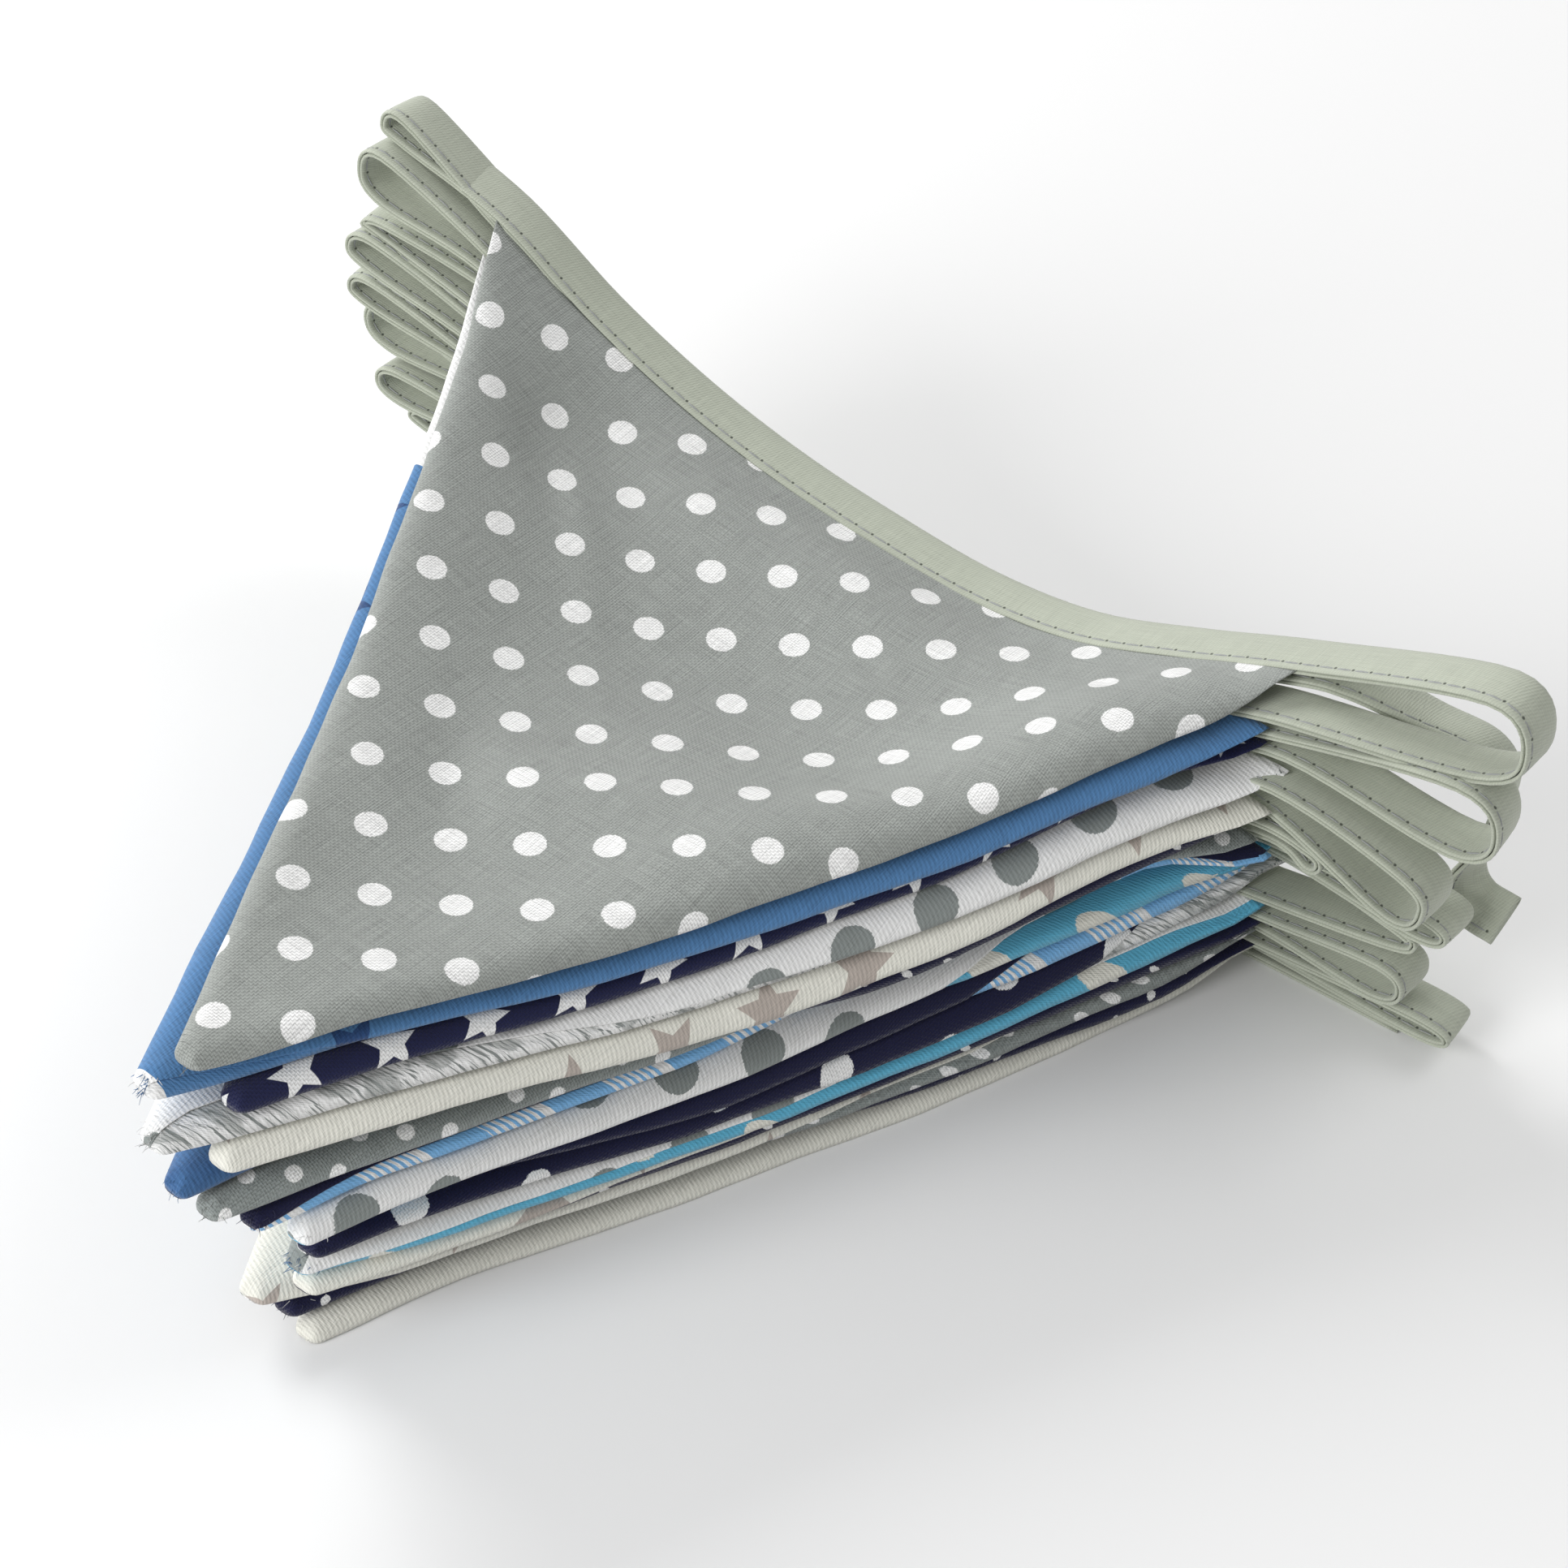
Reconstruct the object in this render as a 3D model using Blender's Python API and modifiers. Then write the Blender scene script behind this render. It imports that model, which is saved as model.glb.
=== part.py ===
"""A run of fabric bunting, folded flag on flag into a stack.

Sixteen double-sided cloth flags hang from one long band of folded tape. The band runs to and fro:
it crosses each flag's top edge, bends round in a loop past the corner, and comes back along the next
flag down. Its two free ends stick out at the right.

Stack coordinates: x along the flags' top edges, y towards the band's back, z up. Every layer follows
one height map, so the stack is tall at its corners, low along the middle of the band, and flat below.
"""

import math

import bmesh
import bpy
from mathutils import Vector

MM = 0.001

# Plan of a flag as it lies, with the top flag as the measure for the others.
FLAG_WIDTH = 184 * MM
FLAG_DEPTH = 188.5 * MM
TIP_CUT = 5 * MM
PANEL_THICK = 1.0 * MM
PANEL_STEPS = 12

# The band of folded tape.
TAPE_WIDTH = 10 * MM
TAPE_THICK = 1.6 * MM
TAPE_GAP = 0.4 * MM
RUN_STEPS = 8
LOOP_STEPS = 3

# Height of the stack's top at the three corners, without the rise at the tip, and how far the band and
# the front edge hang below their corners.
LEFT_HEIGHT = 67.5 * MM
RIGHT_HEIGHT = 75 * MM
TIP_HEIGHT = 72 * MM
BAND_SAG = 14.6 * MM
FRONT_SAG = 6 * MM

# The stack's top rises towards the tip, from this share of the way down the flag.
TIP_RISE = 4.5 * MM
TIP_RISE_START = 0.4

# The stack's top also dips near the band, right of its middle.
HOLLOW_DEPTH = 5.5 * MM
HOLLOW_X = 42 * MM
HOLLOW_RADIUS = 32 * MM

# The main folds of the top cloth, which the layers under it share: long soft mounds and troughs.
# Columns: middle in x and y, half length, half width (mm), direction (degrees), height (mm).
FOLDS = (
    (-57, -14, 22, 19, 30, -3.8),
    (-50, -74, 48, 19, -64, 3.4),
    (0, -13, 34, 18, -6, 2.2),
    (22, -50, 34, 20, 10, -4.6),
    (24, -88, 34, 19, 26, 2.2),
    (66, -29, 24, 19, 64, 2.8),
    (8, -128, 36, 20, 35, -1.8),
)
# Between these two places in y the folds fade out towards the band.
FOLDS_FRONT = -24 * MM
FOLDS_BACK = -9 * MM

# The left corner of the whole stack curls up off the floor, past a line parallel to the front edge.
CURL_HEIGHT = 25 * MM
CURL_START = 0.35

# The lower free end lies under the last flag's band and lifts the cloth there by its thickness.
STEP_HEIGHT = TAPE_THICK + TAPE_GAP
STEP_FRONT = -30 * MM
STEP_BACK = -4 * MM

# Layers are spaced evenly, with more room under the top flag for the upper free end.
PANELS_PER_FLAG = 2
TAIL_ROOM = 0.6
BAND_SEPARATION = 1.55 * MM
SEPARATION_REACH = 20 * MM

# Where the middle of the top flag's upper edge lies from the origin, which is the box's bottom centre.
STACK_X = -4.75 * MM
STACK_Y = 86.67 * MM

# Columns: cloth of the upper panel, cloth of the lower panel, shift in x and y of the flag's top edge
# (mm), its turn (degrees), and how far the tip lies from the top flag's tip in x and y (mm).
FLAGS = (
    ("grey_dot", "grey_dot", 0.0, 0.0, 0.0, 0.0, 0.0),
    ("blue_star", "blue_star", -0.5, -6.0, -1.2, -4.8, -5.3),
    ("navy_star", "navy_star", -1.0, -6.0, -0.6, 4.5, 4.4),
    ("white_dot", "sketch", 4.0, -5.0, -1.2, -2.5, -7.9),
    ("cream_star", "cream_star", 4.0, -8.5, -1.5, 5.5, -1.0),
    ("blue_plain", "navy_speck", 0.0, -8.0, -1.0, 1.0, -7.5),
    ("grey_spot", "grey_spot", 1.5, -8.5, -1.0, 5.0, -5.0),
    ("stripe", "turquoise", 3.5, -7.5, -0.3, 9.0, 0.5),
    ("navy_plain", "sketch", 1.5, -5.0, 0.6, 9.5, -0.8),
    ("white_dot", "white_dot", 0.0, -3.0, 1.2, 11.5, 10.5),
    ("navy_dot", "navy_dot", 2.5, 0.5, 1.5, 11.0, 10.0),
    ("blue_plain", "turquoise", 2.0, -5.5, 0.4, 9.0, 8.8),
    ("white_dot", "sketch", 2.0, -5.5, 0.4, 10.0, 8.8),
    ("cream_plain", "grey_spot", 1.0, -3.5, 0.3, 1.0, 4.0),
    ("navy_speck", "navy_speck", 0.5, -4.0, 0.7, 5.0, 8.0),
    ("cream_plain", "cream_plain", -1.0, -1.5, 1.5, 9.3, 8.3),
)

# Columns: reach past the flags' corner, rise of the loop's end above the mean of its two strands, and
# how far apart the strands stand near the end, all in mm.
LEFT_LOOPS = (
    (29, 11.5, 5),
    (32, 8, 11),
    (33, 6.8, 3.4),
    (35.5, 7.8, 7),
    (37, 7, 7),
    (35.5, 4.4, 10),
    (31.5, 2, 7),
    (25, 2.5, 4),
    (17, 0.5, 3.4),
)
RIGHT_LOOPS = (
    (46.5, 10.3, 17),
    (45, 2.5, 15),
    (36, -9, 12),
    (14, -2, 4),
    (38, -2, 6.5),
    (31, 0, 3.4),
    (32, 0, 9),
    (41, 0, 4.5),
)
SHOULDER = 0.82

# The upper free end leaves the stack at the right, hangs down behind the loops and turns outwards.
# Columns: x past the corner, y from the band's middle, and z above the floor, all in mm.
UPPER_END = (
    (10, 2.5, 72.5),
    (22, 7, 68),
    (33, 8, 66.5),
    (38, 8, 60),
    (37, 8, 47),
    (34, 8, 34.5),
    (37, 8, 29.5),
    (43.5, 8, 29.6),
)
# The lower free end runs on over the floor.
LOWER_END_REACH = 32 * MM

COLOURS = {
    "grey_dot": (0.27, 0.29, 0.28),
    "blue_star": (0.07, 0.19, 0.42),
    "navy_star": (0.010, 0.012, 0.045),
    "white_dot": (0.74, 0.74, 0.76),
    "sketch": (0.45, 0.46, 0.46),
    "cream_star": (0.70, 0.69, 0.63),
    "blue_plain": (0.08, 0.22, 0.45),
    "navy_speck": (0.012, 0.013, 0.040),
    "grey_spot": (0.33, 0.35, 0.34),
    "stripe": (0.30, 0.55, 0.80),
    "turquoise": (0.15, 0.45, 0.62),
    "navy_plain": (0.008, 0.010, 0.040),
    "navy_dot": (0.010, 0.012, 0.045),
    "cream_plain": (0.72, 0.71, 0.66),
    "sage_tape": (0.43, 0.47, 0.37),
}
CLOTH_ROUGHNESS = 0.9


def clear_scene():
    for item in list(bpy.data.objects):
        bpy.data.objects.remove(item, do_unlink=True)


def cloth_material(name):
    material = bpy.data.materials.get(name)
    if material is None:
        material = bpy.data.materials.new(name)
        material.use_nodes = True
        shader = material.node_tree.nodes["Principled BSDF"]
        shader.inputs["Base Color"].default_value = (*COLOURS[name], 1)
        shader.inputs["Roughness"].default_value = CLOTH_ROUGHNESS
        shader.inputs["Metallic"].default_value = 0
    return material


def smooth_step(value):
    """0 below 0, 1 above 1, and an even slope between."""
    value = min(max(value, 0), 1)
    return value * value * (3 - 2 * value)


def stack_shares(x, y):
    """How near a plan point is to the left, right and tip corners, as shares that add up to one."""
    tip = -y / FLAG_DEPTH
    right = x / FLAG_WIDTH + (1 - tip) / 2
    return 1 - right - tip, right, tip


def fold_height(x, y):
    total = 0
    for middle_x, middle_y, length, width, direction, height in FOLDS:
        angle = math.radians(direction)
        from_x, from_y = x / MM - middle_x, y / MM - middle_y
        along = (from_x * math.cos(angle) + from_y * math.sin(angle)) / length
        across = (from_y * math.cos(angle) - from_x * math.sin(angle)) / width
        total += height * MM * math.exp(-(along**2) - across**2)
    return total * smooth_step((FOLDS_BACK - y) / (FOLDS_BACK - FOLDS_FRONT))


def top_height(x, y):
    left, right, tip = stack_shares(x, y)
    corners = LEFT_HEIGHT * left + RIGHT_HEIGHT * right + TIP_HEIGHT * tip
    sag = BAND_SAG * left * right + FRONT_SAG * right * tip
    hollow = HOLLOW_DEPTH * math.exp(-((x - HOLLOW_X) ** 2 + y**2) / HOLLOW_RADIUS**2)
    rise = TIP_RISE * smooth_step((tip - TIP_RISE_START) / (1 - TIP_RISE_START))
    return corners - 4 * sag - hollow + rise + fold_height(x, y)


def floor_lift(x, y):
    """What raises every layer alike: the curled left corner and the free end under the band."""
    left = stack_shares(x, y)[0]
    curl = CURL_HEIGHT * max(0, (left - CURL_START) / (1 - CURL_START)) ** 2
    step = STEP_HEIGHT * smooth_step((y - STEP_FRONT) / (STEP_BACK - STEP_FRONT))
    return curl + step


def layer_height(level, x, y):
    """Middle of a layer, from level 0, the lowest panel, to level 1, the highest."""
    rest = PANEL_THICK / 2
    return rest + level * (top_height(x, y) - rest) + floor_lift(x, y)


def panel_pitch():
    return 1 / (PANELS_PER_FLAG * len(FLAGS) - 1 + TAIL_ROOM)


def flag_level(number):
    """Level of the middle of a flag, counted from 0 at the top."""
    pitch = panel_pitch()
    if number == 0:
        return 1 - pitch / 2
    return pitch * (PANELS_PER_FLAG * (len(FLAGS) - 1 - number) + 0.5)


class FlagPlan:
    """Where one flag lies in plan."""

    def __init__(self, number):
        shift_x, shift_y, turn, tip_x, tip_y = FLAGS[number][2:]
        self.level = flag_level(number)
        self.middle = Vector((shift_x, shift_y, 0)) * MM
        angle = math.radians(turn)
        self.along = Vector((math.cos(angle), math.sin(angle), 0))
        self.across = Vector((-math.sin(angle), math.cos(angle), 0))
        self.tip = Vector((tip_x, tip_y, 0)) * MM - Vector((0, FLAG_DEPTH, 0))

    def place(self, along, down):
        """Plan point from the place along the top edge (-1 to 1) and the share of the way to the tip."""
        edge = self.middle + self.along * (along * FLAG_WIDTH / 2)
        return edge.lerp(self.tip, down)

    def band(self, x_along, across):
        return self.middle + self.along * x_along + self.across * across


def add_object(name, mesh, collection, material):
    item = bpy.data.objects.new(name, mesh)
    item.location = (STACK_X, STACK_Y, 0)
    mesh.materials.append(cloth_material(material))
    collection.objects.link(item)
    return item


def thicken(item, thickness):
    solid = item.modifiers.new("Thickness", "SOLIDIFY")
    solid.thickness = thickness
    solid.offset = 0
    solid.use_even_offset = False


def add_panel(name, plan, side, collection, material):
    """One cloth triangle of a flag. side is 1 for the upper panel and -1 for the lower one."""
    bm = bmesh.new()
    corners = [bm.verts.new(point) for point in ((-1, 0, 0), (0, 1, 0), (1, 0, 0))]
    bm.faces.new(corners)
    bmesh.ops.subdivide_edges(bm, edges=bm.edges[:], cuts=PANEL_STEPS - 1, use_grid_fill=True)
    bmesh.ops.triangulate(bm, faces=bm.faces[:])
    cut = 1 - TIP_CUT / FLAG_DEPTH
    everything = bm.verts[:] + bm.edges[:] + bm.faces[:]
    bmesh.ops.bisect_plane(bm, geom=everything, plane_co=(0, cut, 0), plane_no=(0, 1, 0), clear_outer=True)
    for vert in bm.verts:
        down = vert.co.y
        along = 0 if down >= 1 else vert.co.x / (1 - down)
        spot = plan.place(along, down)
        spot -= plan.across * (TAPE_GAP * (1 - down))
        fullness = smooth_step(down * FLAG_DEPTH / SEPARATION_REACH)
        middle = layer_height(plan.level, spot.x, spot.y)
        even = panel_pitch() * (top_height(spot.x, spot.y) - PANEL_THICK / 2)
        separation = BAND_SEPARATION + (even - BAND_SEPARATION) * fullness
        vert.co = (spot.x, spot.y, middle + side * separation / 2)
    mesh = bpy.data.meshes.new(name)
    bm.to_mesh(mesh)
    bm.free()
    thicken(add_object(name, mesh, collection, material), PANEL_THICK)


def through_points(points, steps):
    """A smooth curve through the points, without the first and the last of them."""
    curve = []
    for before, start, end, after in zip(points, points[1:], points[2:], points[3:]):
        for step in range(steps):
            t = step / steps
            leave = (end - before) * 0.5
            arrive = (after - start) * 0.5
            curve.append(
                start * (2 * t**3 - 3 * t**2 + 1)
                + leave * (t**3 - 2 * t**2 + t)
                + end * (3 * t**2 - 2 * t**3)
                + arrive * (t**3 - t**2)
            )
    curve.append(points[-2])
    return curve


def band_run(plan, side, level=None, across=TAPE_WIDTH / 2):
    """The band along one flag's top edge, towards the right for side 1 and towards the left for -1."""
    level = plan.level if level is None else level
    run = []
    for step in range(RUN_STEPS + 1):
        share = 2 * step / RUN_STEPS - 1
        spot = plan.band(side * share * FLAG_WIDTH / 2, across)
        spot.z = layer_height(level, spot.x, spot.y)
        run.append(spot)
    return run


def lower_run(plan, side):
    """The lower free end on the floor, under the last flag's band."""
    run = band_run(plan, side)
    for spot in run:
        spot.z = TAPE_THICK / 2 + floor_lift(spot.x, spot.y) - STEP_HEIGHT
    return run


def add_loop(path, run, side, row):
    """Carries the path round a loop and along the next run."""
    reach, rise, fullness = (value * MM for value in row)
    start, end = path[-1], run[0]
    tip = (start + end) / 2
    tip.x = side * FLAG_WIDTH / 2 + side * reach
    tip.z += rise
    upper = start.lerp(tip, SHOULDER)
    upper.z = tip.z + fullness / 2
    lower = end.lerp(tip, SHOULDER)
    lower.z = tip.z - fullness / 2
    loop = through_points([path[-2], start, upper, tip, lower, end, run[1]], LOOP_STEPS)
    path.extend(loop[1:-1])
    path.extend(run)


def tape_path():
    """Middle line of the band, from the upper free end to the lower one."""
    plans = [FlagPlan(number) for number in range(len(FLAGS))]
    between = (plans[0].level + plans[1].level) / 2
    path = band_run(plans[0], -1, between, TAPE_WIDTH / 2 + TAPE_GAP)
    corner = Vector((FLAG_WIDTH / 2, TAPE_WIDTH / 2, 0))
    end = [corner + Vector((x, y, z)) * MM for x, y, z in UPPER_END]
    ahead = end[-1] * 2 - end[-2]
    hanging = through_points([path[1], path[0], *end, ahead], LOOP_STEPS)
    path = hanging[:0:-1] + path
    for number, plan in enumerate(plans):
        side = 1 if number % 2 == 0 else -1
        loops = LEFT_LOOPS if side == 1 else RIGHT_LOOPS
        add_loop(path, band_run(plan, side), -side, loops[number // 2])
    add_loop(path, lower_run(plans[-1], 1), -1, LEFT_LOOPS[-1])
    last = path[-1].copy()
    last.x += LOWER_END_REACH
    path.append(last)
    return path


def add_tape(name, collection, material):
    path = tape_path()
    bm = bmesh.new()
    bmesh.ops.create_grid(bm, x_segments=len(path) - 1, y_segments=1, size=1)
    for vert in bm.verts:
        share = (vert.co.x + 1) / 2
        place = path[round(share * (len(path) - 1))]
        vert.co = place + Vector((0, math.copysign(TAPE_WIDTH / 2, vert.co.y), 0))
    mesh = bpy.data.meshes.new(name)
    bm.to_mesh(mesh)
    bm.free()
    thicken(add_object(name, mesh, collection, material), TAPE_THICK)


def build_bunting():
    clear_scene()
    collection = bpy.data.collections.new("fabric_bunting")
    bpy.context.scene.collection.children.link(collection)
    for number, row in enumerate(FLAGS):
        plan = FlagPlan(number)
        name = f"flag_{number + 1:02d}"
        add_panel(f"{name}_upper", plan, 1, collection, row[0])
        add_panel(f"{name}_lower", plan, -1, collection, row[1])
    add_tape("tape_band", collection, "sage_tape")


build_bunting()
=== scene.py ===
# %% [markdown]
# # A run of fabric bunting, folded into a stack
# Sixteen triangular flags hang from one long band of folded tape. For storage the run is laid flag on
# flag: the band crosses a flag, loops round past its corner and comes back along the next flag down.
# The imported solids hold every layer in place. This lesson gives each layer the look of real cloth:
# thin panels that meet in a rolled seam, a tape folded in four, its stitches, and fourteen fabrics.

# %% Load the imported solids
import random
from math import cos, exp, hypot, pi, radians, sin, sqrt

import bpy
from mathutils import Matrix, Vector


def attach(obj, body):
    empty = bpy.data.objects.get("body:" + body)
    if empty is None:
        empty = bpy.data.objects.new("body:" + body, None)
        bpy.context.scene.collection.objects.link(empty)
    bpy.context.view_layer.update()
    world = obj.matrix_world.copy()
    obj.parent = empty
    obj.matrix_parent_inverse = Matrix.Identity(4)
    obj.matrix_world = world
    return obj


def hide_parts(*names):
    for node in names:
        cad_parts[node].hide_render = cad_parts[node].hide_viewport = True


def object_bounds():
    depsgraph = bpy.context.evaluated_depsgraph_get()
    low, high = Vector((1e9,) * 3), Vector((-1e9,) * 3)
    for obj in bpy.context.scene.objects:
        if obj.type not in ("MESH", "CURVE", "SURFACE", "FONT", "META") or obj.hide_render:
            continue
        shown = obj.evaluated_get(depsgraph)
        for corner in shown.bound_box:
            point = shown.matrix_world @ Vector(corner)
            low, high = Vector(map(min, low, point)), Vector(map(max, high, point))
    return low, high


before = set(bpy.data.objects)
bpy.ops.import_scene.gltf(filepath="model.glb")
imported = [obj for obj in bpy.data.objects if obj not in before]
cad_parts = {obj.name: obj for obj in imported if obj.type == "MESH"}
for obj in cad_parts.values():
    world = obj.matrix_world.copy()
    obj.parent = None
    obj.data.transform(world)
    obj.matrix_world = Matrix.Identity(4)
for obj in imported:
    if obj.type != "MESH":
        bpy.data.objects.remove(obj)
cad_low, cad_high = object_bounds()
bpy.ops.object.select_all(action="DESELECT")
cad_box = [round(side * 1000, 1) for side in cad_high - cad_low]
print("solids:", len(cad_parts), "box in mm:", cad_box)

# %% [markdown]
# ## Sizes and the fold plan
# A maker thinks of the stack as a plan: how wide and deep a flag is, how each flag is shifted and
# turned against the top one, and how far each loop of band reaches. The same named sizes made the
# solids, so the cloth lies on their folds.

# %% Named sizes
MM = 0.001
FLAG_WIDTH, FLAG_DEPTH, TIP_CUT = 184 * MM, 188.5 * MM, 5 * MM
TAPE_WIDTH, TAPE_THICK, TAPE_GAP = 10 * MM, 1.6 * MM, 0.4 * MM
RUN_STEPS = 8
LEFT_HEIGHT, RIGHT_HEIGHT, TIP_HEIGHT = 67.5 * MM, 75 * MM, 72 * MM
BAND_SAG, FRONT_SAG = 14.6 * MM, 6 * MM
TIP_RISE, TIP_RISE_START = 4.5 * MM, 0.4
HOLLOW_DEPTH, HOLLOW_X, HOLLOW_RADIUS = 5.5 * MM, 42 * MM, 32 * MM
FOLDS_FRONT, FOLDS_BACK = -24 * MM, -9 * MM
CURL_HEIGHT, CURL_START = 25 * MM, 0.35
STEP_HEIGHT, STEP_FRONT, STEP_BACK = TAPE_THICK + TAPE_GAP, -30 * MM, -4 * MM
REST_HEIGHT = 0.5 * MM
PANELS_PER_FLAG, TAIL_ROOM = 2, 0.6
STACK = Vector((-4.75, 86.67, 0)) * MM
SHOULDER = 0.82
LOWER_END_REACH = 32 * MM

# %% The flags, from the top down
# Columns: shift in x and y of the top edge (mm), turn (degrees), tip's shift in x and y (mm).
FLAGS = (
    (0, 0, 0, 0, 0), (-0.5, -6, -1.2, -4.8, -5.3), (-1, -6, -0.6, 4.5, 4.4),
    (4, -5, -1.2, -2.5, -7.9), (4, -8.5, -1.5, 5.5, -1), (0, -8, -1, 1, -7.5),
    (1.5, -8.5, -1, 5, -5), (3.5, -7.5, -0.3, 9, 0.5), (1.5, -5, 0.6, 9.5, -0.8),
    (0, -3, 1.2, 11.5, 10.5), (2.5, 0.5, 1.5, 11, 10), (2, -5.5, 0.4, 9, 8.8),
    (2, -5.5, 0.4, 10, 8.8), (1, -3.5, 0.3, 1, 4), (0.5, -4, 0.7, 5, 8), (-1, -1.5, 1.5, 9.3, 8.3),
)
print("flags:", len(FLAGS))

# %% The loops of band past the corners
# Columns: reach past the corner, rise of the loop's end, room between its strands (mm), and how far
# the end of the loop leans (degrees).
LEFT_LOOPS = (
    (29, 11.5, 5, 6), (32, 8, 11, 4), (33, 6.8, 3.4, -3), (35.5, 7.8, 7, 5), (37, 7, 7, -4),
    (35.5, 4.4, 10, 6), (31.5, 2, 7, 3), (25, 2.5, 4, -5), (17, 0.5, 3.4, 0),
)
RIGHT_LOOPS = (
    (46.5, 10.3, 17, 3), (45, 2.5, 15, -4), (36, -9, 12, 5), (14, -2, 4, -3), (38, -2, 6.5, 4),
    (31, 0, 3.4, -3), (32, 0, 9, 4), (41, 0, 4.5, -3),
)
# The upper free end: x past the corner, y from the band's middle, z (mm), and its lean (degrees).
UPPER_END = (
    (10, 2.5, 72.5, 4), (22, 7, 68, 8), (33, 8, 66.5, 8), (38, 8, 60, 4), (36.5, 8, 47, 0),
    (33.5, 8, 35.5, -16), (36.5, 7, 30.5, -34), (43.5, 6, 30.2, -38),
)
print("loops:", len(LEFT_LOOPS) + len(RIGHT_LOOPS))

# %% [markdown]
# ## One height map for every layer
# A pile of cloth is not flat. Seams and the band make it thick at the corners and along the edges, and
# it sinks between them. All layers share one height map, scaled by their level in the pile. Because
# neighbours bend alike, they never cut into each other.

# %% The main folds
# Columns: middle in x and y, half length, half width (mm), direction (degrees), height (mm).
FOLDS = (
    (-57, -14, 22, 19, 30, -3.8), (-50, -74, 48, 19, -64, 3.4), (0, -13, 34, 18, -6, 2.2),
    (22, -50, 34, 20, 10, -4.6), (24, -88, 34, 19, 26, 2.2), (66, -29, 24, 19, 64, 2.8),
    (8, -128, 36, 20, 35, -1.8),
)


def sum_of_folds(folds, x, y):
    """Each fold is a long bell, so its ends fade out."""
    total = 0
    for middle_x, middle_y, length, width, direction, height in folds:
        angle = radians(direction)
        from_x, from_y = x / MM - middle_x, y / MM - middle_y
        along = (from_x * cos(angle) + from_y * sin(angle)) / length
        across = (from_y * cos(angle) - from_x * sin(angle)) / width
        total += height * MM * exp(-(along**2) - across**2)
    return total


print("main folds:", len(FOLDS))

# %% How high the pile is
def smooth_step(value):
    value = min(max(value, 0), 1)
    return value * value * (3 - 2 * value)


def stack_shares(x, y):
    tip = -y / FLAG_DEPTH
    right = x / FLAG_WIDTH + (1 - tip) / 2
    return 1 - right - tip, right, tip


def top_height(x, y):
    left, right, tip = stack_shares(x, y)
    corners = LEFT_HEIGHT * left + RIGHT_HEIGHT * right + TIP_HEIGHT * tip
    sag = BAND_SAG * left * right + FRONT_SAG * right * tip
    hollow = HOLLOW_DEPTH * exp(-((x - HOLLOW_X) ** 2 + y**2) / HOLLOW_RADIUS**2)
    rise = TIP_RISE * smooth_step((tip - TIP_RISE_START) / (1 - TIP_RISE_START))
    folds = sum_of_folds(FOLDS, x, y) * smooth_step((FOLDS_BACK - y) / (FOLDS_BACK - FOLDS_FRONT))
    return corners - 4 * sag - hollow + rise + folds


def floor_lift(x, y):
    left = stack_shares(x, y)[0]
    curl = CURL_HEIGHT * max(0, (left - CURL_START) / (1 - CURL_START)) ** 2
    step = STEP_HEIGHT * smooth_step((y - STEP_FRONT) / (STEP_BACK - STEP_FRONT))
    return curl + step


def layer_height(level, x, y):
    return REST_HEIGHT + level * (top_height(x, y) - REST_HEIGHT) + floor_lift(x, y)


def panel_pitch():
    return 1 / (PANELS_PER_FLAG * len(FLAGS) - 1 + TAIL_ROOM)


def flag_level(number):
    if number == 0:
        return 1 - panel_pitch() / 2
    return panel_pitch() * (PANELS_PER_FLAG * (len(FLAGS) - 1 - number) + 0.5)


print("pile at its tip, mm:", round(TIP_HEIGHT * 1000, 1))

# %% [markdown]
# The finer creases belong to the top cloth alone, and fade out a few flags down. They are placed one
# by one, as uneven as on the real thing. The front edge droops over a soft roll, except at the tip,
# where the seams meet and hold the cloth up.

# %% Creases laid on the height map
FRONT_ROLL, DROOP_REACH = 2.0 * MM, 12 * MM
ROLL_CREST, ROLL_SPREAD = 0.6, 0.7
DROOP_END, DROOP_FADE = 0.45, 0.4
FRONT_SPAN = 165 * MM
BAND_FADE = 9 * MM
# Columns: as for the main folds.
CREASES = (
    (-57, -11, 16, 10, 20, -3.2), (-68, -30, 12, 8, -64, 1.6), (2, -9, 28, 9, -4, 2.2),
    (-26, -16, 10, 8, 0, 0.8), (20, -84, 26, 8, 30, 1.1), (-14, -104, 20, 8, -50, -1.8),
    (0, -174, 14, 12, 0, -1.4), (-20, -140, 20, 8, -70, 1.2), (40, -30, 14, 10, 40, -1.4),
    (-4, -82, 16, 8, 20, -1.1), (-38, -40, 30, 4, -48, 0.6), (-52, -34, 16, 3, -40, -0.5),
    (34, -110, 20, 4, 60, 0.5),
)


def front_droop(x, y):
    left, _, tip = stack_shares(x, y)
    inside = left * FRONT_SPAN
    away = (inside - DROOP_REACH) / (ROLL_SPREAD * DROOP_REACH)
    roll = ROLL_CREST * FRONT_ROLL * exp(-(away**2))
    edge = max(0, 1 - inside / DROOP_REACH)
    return (roll - FRONT_ROLL * edge**2) * (1 - smooth_step((tip - DROOP_END) / DROOP_FADE))


def wave_height(level, x, y):
    """Small unevenness, with waves of 11 to 27 mm, that changes slowly from flag to flag."""
    first = sin(x / (19 * MM) + 5 * level) * sin(y / (27 * MM) - 4 * level)
    second = sin((x - y) / (11 * MM) + 7 * level)
    return (0.35 * first + 0.16 * second) * MM


def cloth_height(level, x, y):
    fade = smooth_step(-y / BAND_FADE)
    extra = front_droop(x, y) + wave_height(level, x, y)
    extra += sum_of_folds(CREASES, x, y) * max(0, 4 * level - 3)
    return layer_height(level, x, y) + extra * fade * min(1, 3 * level)


print("roll inside the front edge, mm:", round(front_droop(40 * MM, -60 * MM) * 1000, 2))

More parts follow.
